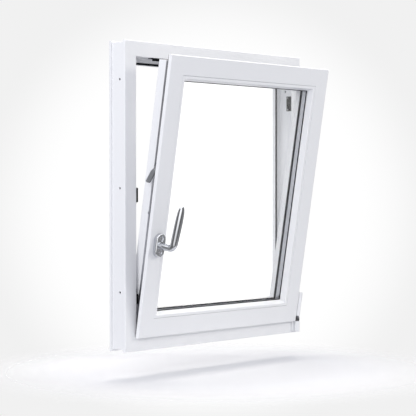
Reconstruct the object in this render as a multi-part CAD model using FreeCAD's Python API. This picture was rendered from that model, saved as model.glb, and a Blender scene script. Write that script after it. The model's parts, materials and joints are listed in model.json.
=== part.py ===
"""Tilt-and-turn casement window, hollow plastic profiles, shown tilted open.

Millimetres. +Z up, the room is towards -Y, X runs along the width.
Sections are drawn as (u, y): u is the distance in from the frame's outer edge, y the depth from
the frame's room face. A bar is swept along X as the bottom member and then put on its own side.
Everything on the sash is drawn shut and leaned into the room last.
"""
import FreeCAD, Part
import math
import os

os.makedirs("parts", exist_ok=True)
V = FreeCAD.Vector

# overall sizes
WIDTH = 835.0
HEIGHT = 945.0
TILT = 9.6            # lean of the tilted sash, degrees
GAP = 0.3             # running gap between a soft or curved face and what it meets

# frame profile
FACE = 48.0           # width of the frame's room face
LIP = 20.0            # height of the outer stop lip above the rebate
LIP_T = 13.0          # thickness of the stop lip
STOP_PLAY = 3.0       # room for the stop gasket between the sash and the lip
WALL = 2.8
WEB = 1.5
CHANNEL = 6.0         # depth of the fixing channel round the outside
FOOT = 10.0           # width of the channel's front foot
LAND = 23.0           # depth of the flat the strikers sit on
FIX_LOW = 180.0       # fixing holes: up from the sill's underside,
FIX_RISE = 24.0       # above mid height,
FIX_HIGH = 118.0      # and down from the top
FIX_Y = 29.0
FIX_R = 3.6
DRAIN_END = 187.5     # outer drain slots, in from the corners
OUTLET_END = 217.5    # drain caps, in from the corners

# sash profile
AIR = 12.0            # gap between the frame rebate and the sash edge
OVERLAP = 8.0         # how far the sash flange covers the frame
FLANGE = 12.5         # flange thickness
PROUD = 16.0          # sash front ahead of the frame's room face
SASH_DEPTH = 70.0
SASH_FACE = 59.0      # width of the sash's room face
BEAD = 19.0           # width of the glazing bead
GROOVE_Y = 13.0       # centre line of the hardware groove

# glazing
PANE = 4.0
CAVITY = 16.0
GLASS_BACK = 23.0     # inner pane behind the sash's room face
SEAT = 5.0            # setting block under the glass
BLOCK_END = 200.0     # middle of a setting block, in from the frame's corner
BLOCK_LONG = 100.0

# hardware
TRAVEL = 36.0         # stroke of the drive rods over half a turn of the handle
AXIS_OUT = 10.5       # turn axis beyond the flange edge
AXIS_Y = -12.0
AXIS_RISE = 10.0      # tilt axis above the flange's bottom edge
ARM = 420.0           # turn axis to the stay pin, shut
KNUCKLE = 5.5
PIN = 3.0
BACKSET = 18.0        # spindle in from the sash's edge in the rebate
HANDLE_Z = 329.0
LIFTER_Z = 568.0
LIFTER_OUT = 29.0     # how far the lifter stands off the edge, degrees
LEG = 24.0            # leg of a corner drive, from the sash corner
LEFT_LOCKS = (460.0, 150.0)     # locking points on the handle side, up from the sill
RIGHT_LOCK_LOW = 194.0          # on the hinge side, up from the sill
RIGHT_LOCK_HIGH = 25.0          # cam at rest on the hinge side, down from the corner drive
TOP_LOCK = 9.5                  # cam at rest on the top, in from the left corner drive
BOTTOM_LOCK = 203.5             # in from the right corner
ROLLER = 12.5                   # in from the left corner drive

# derived
EDGE = FACE - OVERLAP                # flange edge
BODY = FACE + AIR                    # sash edge in the rebate
SIGHT = EDGE + SASH_FACE             # bottom of the bead
RIM = SIGHT + BEAD                   # edge of the clear glass
FRONT = -PROUD
FLANGE_Y = FRONT + FLANGE
BACK = FRONT + SASH_DEPTH
STOP_Y = BACK + STOP_PLAY
DEPTH = STOP_Y + LIP_T
GLASS_Y = FRONT + GLASS_BACK
GLASS_OUT = GLASS_Y + 2 * PANE + CAVITY
LIP_Y = GLASS_OUT + 4.0
GLASS_U = SIGHT + SEAT
AXIS_X = WIDTH / 2 - EDGE + AXIS_OUT
TILT_Z = EDGE + AXIS_RISE
LOW_END = BODY + LEG
RIGHT_LOCK_Z = HEIGHT - LOW_END - RIGHT_LOCK_HIGH - TRAVEL
TOP_LOCK_X = LOW_END + TOP_LOCK + TRAVEL - WIDTH / 2
ROLLER_X = LOW_END + ROLLER - WIDTH / 2
HANDLE_U = BODY + BACKSET
FOOT_MID = FOOT / 2
PLATE_Y0 = GROOVE_Y - 9.5
PLATE_Y1 = GROOVE_Y + 9.5
PLATE_T = 2.4
SLOT_U = BODY + 12.0                 # bottom of the hardware groove
SINE = math.sin(math.radians(TILT))
COSINE = math.cos(math.radians(TILT))

FIX_Z = [FIX_LOW, HEIGHT / 2 + FIX_RISE, HEIGHT - FIX_HIGH]

TURNS = {"bottom": 0, "left": 90, "top": 180, "right": -90}
SPAN = {"bottom": WIDTH, "top": WIDTH, "left": HEIGHT, "right": HEIGHT}
SHIFT = {
    "bottom": V(0, 0, 0),
    "left": V(-WIDTH / 2, 0, HEIGHT / 2),
    "top": V(0, 0, HEIGHT),
    "right": V(WIDTH / 2, 0, HEIGHT / 2),
}

def along(side, value):
    """Window x (bottom, top) or z (left, right) as a distance along that side's bar."""
    if side == "bottom":
        return value
    if side == "top":
        return -value
    if side == "left":
        return HEIGHT / 2 - value
    return value - HEIGHT / 2


def put(shape, side):
    """Move a shape drawn on the bottom bar to its own side of the window."""
    moved = shape.copy()
    moved.rotate(V(0, 0, 0), V(0, 1, 0), TURNS[side])
    moved.translate(SHIFT[side])
    return moved


def lean(shape):
    """Lean a shape that belongs to the sash into the tilted position."""
    moved = shape.copy()
    moved.rotate(V(0, AXIS_Y, TILT_Z), V(1, 0, 0), TILT)
    return moved


def save(name, shape):
    """Write one node; the origin is under the middle of the sill's front foot."""
    moved = shape.copy()
    moved.translate(V(0, -FOOT_MID, 0))
    moved.exportStep("parts/" + name + ".step")


def group(shapes):
    return Part.makeCompound(shapes)


def fuse(shapes):
    whole = shapes[0]
    for shape in shapes[1:]:
        whole = whole.fuse(shape)
    return whole.removeSplitter()


def section(points):
    """Face in the section plane from (u, y) or (u, y, corner radius) points."""
    count = len(points)
    corners = []
    for i, point in enumerate(points):
        here = V(0, point[1], point[0])
        radius = point[2] if len(point) > 2 else 0
        if not radius:
            corners.append((here, here, None))
            continue
        last = points[i - 1]
        following = points[(i + 1) % count]
        before = V(0, last[1], last[0]).sub(here).normalize()
        after = V(0, following[1], following[0]).sub(here).normalize()
        half = before.getAngle(after) / 2
        bisector = before.add(after).normalize()
        reach = radius / math.tan(half)
        enter = here + before * reach
        leave = here + after * reach
        middle = here + bisector * (radius / math.sin(half) - radius)
        corners.append((enter, leave, middle))
    edges = []
    for i, (enter, leave, middle) in enumerate(corners):
        if middle is not None:
            edges.append(Part.Arc(enter, middle, leave).toShape())
        target = corners[(i + 1) % count][0]
        if leave.sub(target).Length > 1e-6:
            edges.append(Part.makeLine(leave, target))
    return Part.Face(Part.Wire(edges))


def rectangle(u0, u1, y0, y1, radius=0.0):
    return section([(u0, y0, radius), (u1, y0, radius), (u1, y1, radius), (u0, y1, radius)])


def sweep(face, s0, s1):
    body = face.extrude(V(s1 - s0, 0, 0))
    body.translate(V(s0, 0, 0))
    return body


def mitred(face, length):
    """Sweep a section over a side's whole length and cut both ends at 45 degrees."""
    reach = 150.0
    half = length / 2
    corners = [V(-half, -90, 0), V(half, -90, 0), V(half - reach, -90, reach)]
    corners += [V(reach - half, -90, reach), V(-half, -90, 0)]
    wedge = Part.Face(Part.makePolygon(corners)).extrude(V(0, 220, 0))
    return sweep(face, -half, half).common(wedge)


def block(s0, s1, y0, y1, u0, u1):
    return Part.makeBox(s1 - s0, y1 - y0, u1 - u0, V(s0, y0, u0))


def post(s, y, u0, u1, radius):
    """Cylinder across the bar, from u0 to u1."""
    return Part.makeCylinder(radius, u1 - u0, V(s, y, u0), V(0, 0, 1))


def through(s, u, y0, y1, radius):
    """Cylinder through the bar, from the room side to the outside."""
    return Part.makeCylinder(radius, y1 - y0, V(s, y0, u), V(0, 1, 0))


def slot_u(s0, s1, y, u0, u1, radius):
    """Round-ended slot cut across the bar between two centres."""
    low, high = min(s0, s1), max(s0, s1)
    middle = block(low, high, y - radius, y + radius, u0, u1)
    return middle.fuse([post(low, y, u0, u1, radius), post(high, y, u0, u1, radius)])


def upright(x, y, z0, z1, radius):
    return Part.makeCylinder(radius, z1 - z0, V(x, y, z0), V(0, 0, 1))


def box(x0, x1, y0, y1, z0, z1):
    return Part.makeBox(x1 - x0, y1 - y0, z1 - z0, V(x0, y0, z0))


def softened(shape, radius, test):
    """Round the straight edges whose middle passes the test."""
    chosen = []
    for edge in shape.Edges:
        middle = edge.valueAt((edge.FirstParameter + edge.LastParameter) / 2)
        if test(middle, edge):
            chosen.append(edge)
    return shape.makeFillet(radius, chosen)


# ---------------------------------------------------------------- strikers and cams
# (side, place of the cam when locked, length of the plate's tail, run of the hook). Locking
# drives every rod towards the low end of its own side's bar.
STRIKERS = [
    ("left", LEFT_LOCKS[0], 20.0, 38.0),
    ("left", LEFT_LOCKS[1], 20.0, 24.0),
    ("right", RIGHT_LOCK_Z, 20.0, 24.0),
    ("right", RIGHT_LOCK_LOW, 20.0, 24.0),
    ("top", TOP_LOCK_X, 56.0, 24.0),
    ("bottom", WIDTH / 2 - BOTTOM_LOCK, 20.0, 24.0),
]
HOOK_Y0 = GROOVE_Y - 10.6
HOOK_Y1 = GROOVE_Y - 5.9
HOOK_U = BODY - 3.0
BASE_Y1 = GROOVE_Y + 8.5
BASE_T = 2.0
SCREW_Y = GROOVE_Y + 4.0
CAM_R = 4.5
CAM_U = FACE + 2.9


def cam_places(side):
    """Places of the cams on one side with the handle at rest, along the bar."""
    places = [along(side, lock[1]) + TRAVEL for lock in STRIKERS if lock[0] == side]
    if side == "bottom":
        places.append(along(side, ROLLER_X) + TRAVEL)
    return places


def striker_holes(side, place, tail):
    s = along(side, place)
    return [s + 5, s - 15 - tail]


def striker(side, place, tail, run):
    """Base plate with a raised hook the cam runs behind, and two screw holes."""
    s = along(side, place)
    base = block(s - 20 - tail, s + 10, HOOK_Y0, BASE_Y1, FACE, FACE + BASE_T)
    hook = block(s - run, s + 6, HOOK_Y0, HOOK_Y1, FACE, HOOK_U)
    stop = block(s - 22, s - 12, HOOK_Y1 - 1, GROOVE_Y + 3, FACE, HOOK_U - 3)
    shape = fuse([base, hook, stop])
    for hole in striker_holes(side, place, tail):
        shape = shape.cut(post(hole, SCREW_Y, FACE - 1, HOOK_U + 1, 3.1))
    return shape


def plate_screw(s, y, u, depth, radius=3.0):
    """Flush screw whose head lies under u, with a driver slot and a shank."""
    head = post(s, y, u - BASE_T, u, radius)
    shank = post(s, y, u - BASE_T - depth, u - BASE_T, 1.9)
    return head.fuse(shank).cut(block(s - radius, s + radius, y - 0.4, y + 0.4, u - 0.7, u + 1))


# ---------------------------------------------------------------- frame
def frame_face():
    lip = FACE + LIP
    groove = FACE + 13.0
    return section([
        (0, 0, 2.5), (FACE, 0, 2.0),
        (FACE, LAND), (FACE - 1, LAND), (FACE - 1, STOP_Y - 10), (FACE - 4, STOP_Y - 10),
        (FACE - 4, STOP_Y),
        (groove, STOP_Y), (groove, STOP_Y + 3.5), (groove + 3, STOP_Y + 3.5), (groove + 3, STOP_Y),
        (lip, STOP_Y, 1.2), (lip, DEPTH, 2.0), (0, DEPTH, 2.5),
        (0, DEPTH - 8.5, 0.8), (CHANNEL, DEPTH - 8.5, 0.8), (CHANNEL, FOOT, 0.8), (0, FOOT, 0.8),
    ])


INNER = CHANNEL + WALL
MAIN_Y0 = 15.5
MAIN_Y1 = STOP_Y - 12.5
MAIN_U = FACE - 1 - WALL


def frame_chambers():
    return [
        rectangle(INNER, FACE - WALL, WALL, MAIN_Y0 - WEB, 1.0),
        rectangle(INNER, MAIN_U, MAIN_Y0, MAIN_Y1, 1.0),
        rectangle(INNER, FACE - 4 - WALL, MAIN_Y1 + WEB, STOP_Y + 4.3, 1.0),
        rectangle(INNER, FACE + LIP - WALL, STOP_Y + 5.8, DEPTH - WALL, 1.0),
    ]


def frame_bar(side):
    length = SPAN[side]
    bar = mitred(frame_face(), length)
    for chamber in frame_chambers():
        bar = bar.cut(mitred(chamber, length))
    if side in ("left", "right"):
        for z in FIX_Z:
            bar = bar.cut(post(along(side, z), FIX_Y, -1, FACE + 1, FIX_R))
    for name, place, tail, run in STRIKERS:
        if name == side:
            for hole in striker_holes(side, place, tail):
                bar = bar.cut(post(hole, SCREW_Y, FACE - 5, FACE + 1, 1.9))
    return put(bar, side)


DRAINS = [DRAIN_END - WIDTH / 2, 0.0, WIDTH / 2 - DRAIN_END]
OUTLETS = [OUTLET_END - WIDTH / 2, WIDTH / 2 - OUTLET_END]

frame = {}
for side in TURNS:
    frame[side] = frame_bar(side)
for x in DRAINS:
    inlet = box(x - 14, x + 14, STOP_Y - 7, STOP_Y - 2, FACE - 4 - WALL - 1, FACE + 1)
    frame["bottom"] = frame["bottom"].cut(inlet)
for x in OUTLETS:
    outlet = box(x - 12, x + 12, STOP_Y + 2, DEPTH + 1, 12, 17)
    frame["bottom"] = frame["bottom"].cut(outlet)


def drain_cap(x):
    hood = box(x - 19, x + 19, DEPTH, DEPTH + 5, 8, 23)
    hood = softened(hood, 2.0, lambda p, e: p.y > DEPTH + 4.9 or abs(p.y - DEPTH - 2.5) < 0.1)
    hood = hood.cut(box(x - 16.5, x + 16.5, DEPTH - 1, DEPTH + 3.2, 6, 20.5))
    return hood


save("drain_caps", group([drain_cap(x) for x in OUTLETS]))


def steel(side, u0, u1, y0, y1, margin, cuts):
    tube = rectangle(u0, u1, y0, y1, 1.6).cut(rectangle(u0 + 1.5, u1 - 1.5, y0 + 1.5, y1 - 1.5, 0.6))
    half = SPAN[side] / 2 - margin
    tube = sweep(tube, -half, half)
    for cut in cuts:
        tube = tube.cut(cut)
    return put(tube, side)


tubes = []
for side in TURNS:
    cuts = []
    if side in ("left", "right"):
        for z in FIX_Z:
            cuts.append(post(along(side, z), FIX_Y, 0, FACE, FIX_R + 0.8))
    tubes.append(steel(side, INNER + 0.4, MAIN_U - 0.4, MAIN_Y0 + 0.4, MAIN_Y1 - 0.4, 75.0, cuts))
save("frame_reinforcement", group(tubes))

stop_section = section([
    (FACE + 12, STOP_Y), (FACE + 12.6, BACK + GAP, 1.2), (FACE + 18.5, BACK + GAP, 1.2),
    (FACE + 19, STOP_Y), (FACE + 15.8, STOP_Y), (FACE + 15.8, STOP_Y + 3.2),
    (FACE + 13.2, STOP_Y + 3.2), (FACE + 13.2, STOP_Y),
])
save("stop_gasket", group([put(mitred(stop_section, SPAN[side]), side) for side in TURNS]))

plates = []
screws = []
for side, place, tail, run in STRIKERS:
    plates.append(put(striker(side, place, tail, run), side))
    for hole in striker_holes(side, place, tail):
        screws.append(put(plate_screw(hole, SCREW_Y, FACE + BASE_T, 4.0), side))


def tilt_keeper():
    """Cradle for the bottom roller: low lip to tip over, full hook where the roller locks."""
    s = along("bottom", ROLLER_X)
    low, high = s - 16, s + TRAVEL + 14
    parts = [
        block(low, high, HOOK_Y0, LAND, FACE, FACE + BASE_T),
        block(low, high, GROOVE_Y + 6.5, LAND, FACE, FACE + 8),
        block(low, s + 9, HOOK_Y0, HOOK_Y1, FACE, FACE + 7.5),
        block(s + TRAVEL - 12, high, HOOK_Y0, HOOK_Y1, FACE, FACE + 4.5),
    ]
    shape = fuse(parts)
    for hole in (s - 11, s + TRAVEL + 9.5):
        shape = shape.cut(post(hole, GROOVE_Y, FACE - 1, FACE + 12, 3.1))
    return shape


keeper_holes = [ROLLER_X - 11, ROLLER_X + TRAVEL + 9.5]
for x in keeper_holes:
    screws.append(plate_screw(x, GROOVE_Y, FACE + BASE_T, 4.0))
    frame["bottom"] = frame["bottom"].cut(upright(x, GROOVE_Y, FACE - 5, FACE + 1, 1.9))
save("tilt_keeper", tilt_keeper())
save("strikers", group(plates))
save("striker_screws", group(screws))


# ---------------------------------------------------------------- hinge bearings on the frame
PLATE_W = 32.0
BEARING_R = 6.5
SCREW_OUT = 11.0


def bearing_body(z0, z1, grow, inner=PLATE_W / 2):
    """Face plate, web and round boss of a hinge bearing, every outside grown by the same amount."""
    x0, x1 = AXIS_X - inner - grow, AXIS_X + PLATE_W / 2 + grow
    plate = box(x0, x1, -3 - grow, 0, z0 - grow, z1 + grow)
    web = box(AXIS_X - 3 - grow, AXIS_X + 3 + grow, AXIS_Y, -1, z0 - grow, z1 + grow)
    boss = upright(AXIS_X, AXIS_Y, z0 - grow, z1 + grow, BEARING_R + grow)
    return fuse([plate, web, boss])


def face_screw(x, z):
    """Flush screw through a bearing's face plate into the frame."""
    head = Part.makeCylinder(3.6, 1.8, V(x, -3, z), V(0, 1, 0))
    shank = Part.makeCylinder(1.9, 7.0, V(x, -1.2, z), V(0, 1, 0))
    return head.fuse(shank).cut(box(x - 4, x + 4, -4, -2.3, z - 0.4, z + 0.4))


def face_hole(x, z, slack):
    head = Part.makeCylinder(3.6 + slack, 3.0, V(x, -4.2, z), V(0, 1, 0))
    return head.fuse(Part.makeCylinder(1.9 + slack, 9.0, V(x, -1.3, z), V(0, 1, 0)))


LOW_Z0, LOW_Z1 = 8.0, EDGE - 9.0
CUP_Z = EDGE - 0.5
POST_TOP = EDGE + 1.0
STAY_Z0, STAY_Z1 = HEIGHT - EDGE - 38.0, HEIGHT - EDGE + 0.5   # the stay arm's eye
HIGH_Z0, HIGH_Z1 = STAY_Z0 - 30.5, STAY_Z0 - 2.5
BESIDE = AXIS_OUT - 3.5              # inner half of the high plate, clear of the flange
POST_R = 3.5

low_screws = [(AXIS_X - SCREW_OUT, LOW_Z0 + 12), (AXIS_X + SCREW_OUT, LOW_Z0 + 12)]
high_screws = [(AXIS_X + SCREW_OUT, HIGH_Z0 + 7), (AXIS_X + SCREW_OUT, HIGH_Z1 - 7)]
low_bearing = bearing_body(LOW_Z0, LOW_Z1, 0)
high_bearing = bearing_body(HIGH_Z0, HIGH_Z1, 0, BESIDE)
low_bearing = low_bearing.cut(upright(AXIS_X, AXIS_Y, LOW_Z0 + 3, LOW_Z1 + 1, POST_R + 0.02))
high_bearing = high_bearing.cut(upright(AXIS_X, AXIS_Y, HIGH_Z0 + 3, HIGH_Z1 + 1, PIN + 0.02))
hinge_screws = []
for x, z in low_screws:
    low_bearing = low_bearing.cut(face_hole(x, z, 0.05))
for x, z in high_screws:
    high_bearing = high_bearing.cut(face_hole(x, z, 0.05))
for x, z in low_screws + high_screws:
    for side in ("right", "bottom", "top"):
        frame[side] = frame[side].cut(Part.makeCylinder(1.9, 9, V(x, -1, z), V(0, 1, 0)))
    hinge_screws.append(face_screw(x, z))
save("corner_bearing", low_bearing)
save("stay_bearing", high_bearing)
save("hinge_screws", group(hinge_screws))
for side, name in (("bottom", "sill"), ("top", "head"), ("left", "jamb_left"), ("right", "jamb_right")):
    save("frame_" + name, frame[side])
save("corner_post", upright(AXIS_X, AXIS_Y, LOW_Z0 + 3.1, POST_TOP, POST_R))
save("stay_pin", upright(AXIS_X, AXIS_Y, HIGH_Z0 + 3.1, STAY_Z1 + 2, PIN).fuse(
    upright(AXIS_X, AXIS_Y, STAY_Z1 + 0.5, STAY_Z1 + 3.5, PIN + 1.5)))

low_cover = bearing_body(LOW_Z0, CUP_Z - 2.2, 2.2)
low_cover = low_cover.cut(bearing_body(LOW_Z0, LOW_Z1, 0.35))
low_cover = low_cover.cut(upright(AXIS_X, AXIS_Y, LOW_Z1, CUP_Z + 1, BEARING_R + 0.5))
save("corner_bearing_cover", low_cover)
high_cover = bearing_body(HIGH_Z0, HIGH_Z1 - 1.2, 2.2, BESIDE)
high_cover = high_cover.cut(bearing_body(HIGH_Z0, HIGH_Z1 + 2, 0.35, BESIDE))
save("stay_bearing_cover", high_cover)

# ---------------------------------------------------------------- swivel between frame and sash
CHEEK_IN = 2.3
CHEEK_OUT = 6.3
EYE_R = 5.0
SWIVEL_Z0 = LOW_Z1 + 2.0
SWIVEL_Z1 = TILT_Z - EYE_R - 0.5


def across(x0, x1, y, z, radius):
    return Part.makeCylinder(radius, x1 - x0, V(x0, y, z), V(1, 0, 0))


def swivel():
    """Round base that turns on the corner post, with two cheeks for the tilt pin."""
    base = upright(AXIS_X, AXIS_Y, SWIVEL_Z0, SWIVEL_Z1, BEARING_R)
    shape = [base]
    for x0, x1 in ((-CHEEK_OUT, -CHEEK_IN), (CHEEK_IN, CHEEK_OUT)):
        shape.append(across(AXIS_X + x0, AXIS_X + x1, AXIS_Y, TILT_Z, EYE_R))
        shape.append(box(AXIS_X + x0, AXIS_X + x1, AXIS_Y - EYE_R, AXIS_Y + EYE_R,
                         SWIVEL_Z1 - 2, TILT_Z))
    bores = [
        upright(AXIS_X, AXIS_Y, SWIVEL_Z0 - 1, POST_TOP + 0.5, POST_R + 0.05),
        across(AXIS_X - 8, AXIS_X + 8, AXIS_Y, TILT_Z, 2.52),
    ]
    whole = fuse(shape)
    for bore in bores:
        whole = whole.cut(bore)
    return whole


save("swivel", swivel())
save("tilt_pin", across(AXIS_X - CHEEK_OUT, AXIS_X + CHEEK_OUT, AXIS_Y, TILT_Z, 2.5))

# ---------------------------------------------------------------- stay arm
ARM_Z = HEIGHT - FACE - 8.5
ARM_T = 2.5
JOGGLE = 2.6
BACK_Z = HEIGHT - BODY
STAY_X = AXIS_X - ARM
STAY_R = 4.0
STEP_BACK = 52.0      # start of the arm's step, from the stay pin

shut_angle = math.degrees(math.atan2(GROOVE_Y - AXIS_Y, ARM))
pin_z = BACK_Z + 5.0 - TILT_Z
open_y = AXIS_Y + (GROOVE_Y - AXIS_Y) * COSINE - pin_z * SINE
STAY = shut_angle + math.degrees(math.atan2(AXIS_Y - open_y, ARM))
stay_long = math.hypot(ARM, AXIS_Y - open_y)
stay_short = math.hypot(ARM, GROOVE_Y - AXIS_Y)


def stay_arm():
    """Flat arm over the top rail, stepped down to its slotted end, with a plate and eye in front."""
    right = WIDTH / 2 - FACE - 3.5
    step = STAY_X + STEP_BACK
    end = STAY_X - (stay_long - stay_short) - 3
    top, under = ARM_Z + ARM_T, ARM_Z
    line = [
        V(right, GROOVE_Y - 10, top), V(right, GROOVE_Y - 10, under),
        V(step, GROOVE_Y - 10, under), V(step - 25, GROOVE_Y - 10, under - JOGGLE),
        V(end, GROOVE_Y - 10, under - JOGGLE), V(end, GROOVE_Y - 10, top - JOGGLE),
        V(step - 25.2, GROOVE_Y - 10, top - JOGGLE), V(step - 0.2, GROOVE_Y - 10, top),
    ]
    strip = Part.Face(Part.makePolygon(line + [line[0]])).extrude(V(0, 20, 0))
    tab = box(right - 16, right, FLANGE_Y + 0.4, GROOVE_Y - 9, under, top)
    plate = box(WIDTH / 2 - BODY + 3, AXIS_X, FLANGE_Y + 0.4, -0.8, STAY_Z0 + 2, top)
    web = box(AXIS_X - 4, AXIS_X, AXIS_Y + 4, -0.8, STAY_Z0 + 2, top)
    eye = upright(AXIS_X, AXIS_Y, STAY_Z0, STAY_Z1, 6.0)
    rounded = upright(end, GROOVE_Y, under - JOGGLE, top - JOGGLE, 10.0)
    arm = fuse([strip, rounded, tab, plate, web, eye])
    arm = arm.cut(upright(AXIS_X, AXIS_Y, STAY_Z0 - 1, STAY_Z1 + 1, PIN + 0.05))
    far = STAY_X - (stay_long - stay_short) - 1.5
    opening = box(far, STAY_X + 1.5, GROOVE_Y - STAY_R - 1.6, GROOVE_Y + STAY_R + 1.6, under - 9, top)
    opening = opening.fuse([
        upright(far, GROOVE_Y, under - 9, top, STAY_R + 1.6),
        upright(STAY_X + 1.5, GROOVE_Y, under - 9, top, STAY_R + 1.6),
    ])
    arm = arm.cut(opening)
    arm.rotate(V(AXIS_X, AXIS_Y, 0), V(0, 0, 1), STAY)
    return arm


save("stay_arm", stay_arm())

# ---------------------------------------------------------------- sash profiles
CLIP_Y0, CLIP_Y1 = FRONT + 7.5, FRONT + 11.5
SEAL_U = EDGE + 3.4
MAIN_SASH_Y0, MAIN_SASH_Y1 = 1.1, LIP_Y - 1.0
CASE_HALF = 62.0


def sash_face():
    return section([
        (EDGE, FRONT, 3.0), (SIGHT, FRONT, 0.6),
        (SIGHT, CLIP_Y0), (SIGHT - 4, CLIP_Y0), (SIGHT - 4, CLIP_Y1), (SIGHT, CLIP_Y1),
        (SIGHT, LIP_Y), (RIM - 8, LIP_Y), (RIM - 8, LIP_Y + 3), (RIM - 5, LIP_Y + 3),
        (RIM - 5, LIP_Y), (RIM, LIP_Y, 1.2), (RIM, BACK, 2.0), (BODY, BACK, 1.5),
        (BODY, PLATE_Y1 + 0.3), (BODY + 2.5, PLATE_Y1 + 0.3), (BODY + 2.5, GROOVE_Y + 6),
        (SLOT_U, GROOVE_Y + 6), (SLOT_U, GROOVE_Y - 6), (BODY + 2.5, GROOVE_Y - 6),
        (BODY + 2.5, PLATE_Y0 - 0.3), (BODY, PLATE_Y0 - 0.3), (BODY, FLANGE_Y),
        (SEAL_U + 2.6, FLANGE_Y), (SEAL_U + 2.6, FLANGE_Y - 2.8), (SEAL_U, FLANGE_Y - 2.8),
        (SEAL_U, FLANGE_Y), (EDGE, FLANGE_Y, 2.0),
    ])


def sash_chambers():
    inner = SIGHT - 4 - WALL
    return [
        rectangle(EDGE + 9, BODY - WALL, FRONT + WALL, FLANGE_Y - WALL, 1.0),
        rectangle(BODY + WALL, inner, FRONT + WALL, MAIN_SASH_Y0 - WEB, 1.0),
        rectangle(SLOT_U + WALL, inner, MAIN_SASH_Y0, MAIN_SASH_Y1, 1.0),
        rectangle(BODY + WALL, SLOT_U + WALL - WEB, GROOVE_Y + 6 + WALL, MAIN_SASH_Y1, 1.0),
        rectangle(BODY + WALL, SIGHT - WALL, MAIN_SASH_Y1 + WEB, BACK - WALL, 1.0),
        rectangle(SIGHT - WALL + WEB, RIM - WALL, LIP_Y + 5.8, BACK - WALL, 1.0),
    ]


RIGHT_START = TILT_Z + 95.0
# faceplate screws, kept clear of the cam slots, the gearbox, the lifter and the stay guide
SCREW_PLACES = {
    "left": [LEFT_LOCKS[1] + 18, LEFT_LOCKS[1] + 90, LEFT_LOCKS[0] + 60, LIFTER_Z + 103,
             HEIGHT - LOW_END - 41],
    "right": [RIGHT_START + 15, RIGHT_LOCK_LOW + 136, RIGHT_LOCK_Z - 240, RIGHT_LOCK_Z - 60],
    "top": [TOP_LOCK_X + 63, STAY_X - 78, STAY_X + 162, WIDTH / 2 - LOW_END - 43.5],
    "bottom": [ROLLER_X + 106, ROLLER_X + 261, WIDTH / 2 - 317.5, WIDTH / 2 - 117.5],
}
handle_s = along("left", HANDLE_Z)
ROSETTE_SCREW = 21.5

sash = {}
for side in TURNS:
    bar = mitred(sash_face(), SPAN[side])
    for chamber in sash_chambers():
        bar = bar.cut(mitred(chamber, SPAN[side]))
    for place in SCREW_PLACES[side]:
        bar = bar.cut(post(along(side, place), GROOVE_Y, SLOT_U - 1, SLOT_U + WALL + 1, 1.9))
    if side == "left":
        pocket = block(handle_s - CASE_HALF - 0.4, handle_s + CASE_HALF + 0.4,
                       GROOVE_Y - 6, GROOVE_Y + 6, SLOT_U - 1, SLOT_U + 16)
        bar = bar.cut(pocket)
        bar = bar.cut(through(handle_s, HANDLE_U, FRONT - 1, GROOVE_Y, 6.5))
        for offset in (-ROSETTE_SCREW, ROSETTE_SCREW):
            bar = bar.cut(through(handle_s + offset, HANDLE_U, FRONT - 1, GROOVE_Y, 2.6))
    sash[side] = put(bar, side)
for x in OUTLETS:
    drain = box(x - 12, x + 12, LIP_Y - 5, LIP_Y - 1, SIGHT - WALL - 1, SIGHT + 1)
    sash["bottom"] = sash["bottom"].cut(drain)
for side, name in (
    ("bottom", "rail_bottom"), ("top", "rail_top"), ("left", "stile_left"), ("right", "stile_right")
):
    save("sash_" + name, lean(sash[side]))

tubes = []
for side in TURNS:
    cuts = [
        post(along(side, place), GROOVE_Y, SLOT_U, SLOT_U + WALL + 12, 4.0)
        for place in SCREW_PLACES[side]
    ]
    if side == "left":
        cuts.append(block(handle_s - CASE_HALF - 2, handle_s + CASE_HALF + 2,
                          GROOVE_Y - 7, GROOVE_Y + 7, SLOT_U, SLOT_U + 17))
        cuts.append(through(handle_s, HANDLE_U, 0, GROOVE_Y, 9.0))
        for offset in (-ROSETTE_SCREW, ROSETTE_SCREW):
            cuts.append(through(handle_s + offset, HANDLE_U, 0, GROOVE_Y, 4.0))
    tubes.append(steel(side, SLOT_U + WALL + 0.4, SIGHT - 4 - WALL - 0.4,
                       MAIN_SASH_Y0 + 0.4, MAIN_SASH_Y1 - 0.4, 105.0, cuts))
save("sash_reinforcement", lean(group(tubes)))

# ---------------------------------------------------------------- overlap gasket
LOW_LIP = 1.9


def seal_face(lip):
    """Gasket on the flange's back, with its root in the groove."""
    far = FLANGE_Y + lip
    return section([
        (EDGE + 2, FLANGE_Y), (SEAL_U, FLANGE_Y), (SEAL_U, FLANGE_Y - 2.5),
        (SEAL_U + 2.6, FLANGE_Y - 2.5), (SEAL_U + 2.6, FLANGE_Y), (EDGE + 7.5, FLANGE_Y),
        (EDGE + 7, far, 0.6), (EDGE + 3, far, 0.8),
    ])


seals = []
for side in TURNS:
    strip = put(mitred(seal_face(LOW_LIP if side == "bottom" else -FLANGE_Y - GAP), SPAN[side]), side)
    if side in ("left", "right"):
        strip = strip.cut(box(-WIDTH, WIDTH, -50, 50, 0, TILT_Z))
    if side == "right":
        strip = strip.cut(box(0, WIDTH, FLANGE_Y, 50, TILT_Z, TILT_Z + 92))
        strip = strip.cut(box(0, WIDTH, FLANGE_Y, 50, STAY_Z0 - 3, HEIGHT))
    if side == "top":
        strip = strip.cut(box(WIDTH / 2 - FACE - 24, WIDTH, FLANGE_Y, 50, 0, ARM_Z + ARM_T + 1))
    seals.append(strip)
save("overlap_gasket", lean(group(seals)))

# ---------------------------------------------------------------- glazing
def ring(u0, u1, y0, y1, radius=0.0):
    """Closed rectangular ring of the given section, made of one outer and one inner block."""
    outer = box(u0 - WIDTH / 2, WIDTH / 2 - u0, y0, y1, u0, HEIGHT - u0)
    inner = box(u1 - WIDTH / 2, WIDTH / 2 - u1, y0 - 1, y1 + 1, u1, HEIGHT - u1)
    return outer.cut(inner)


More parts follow.
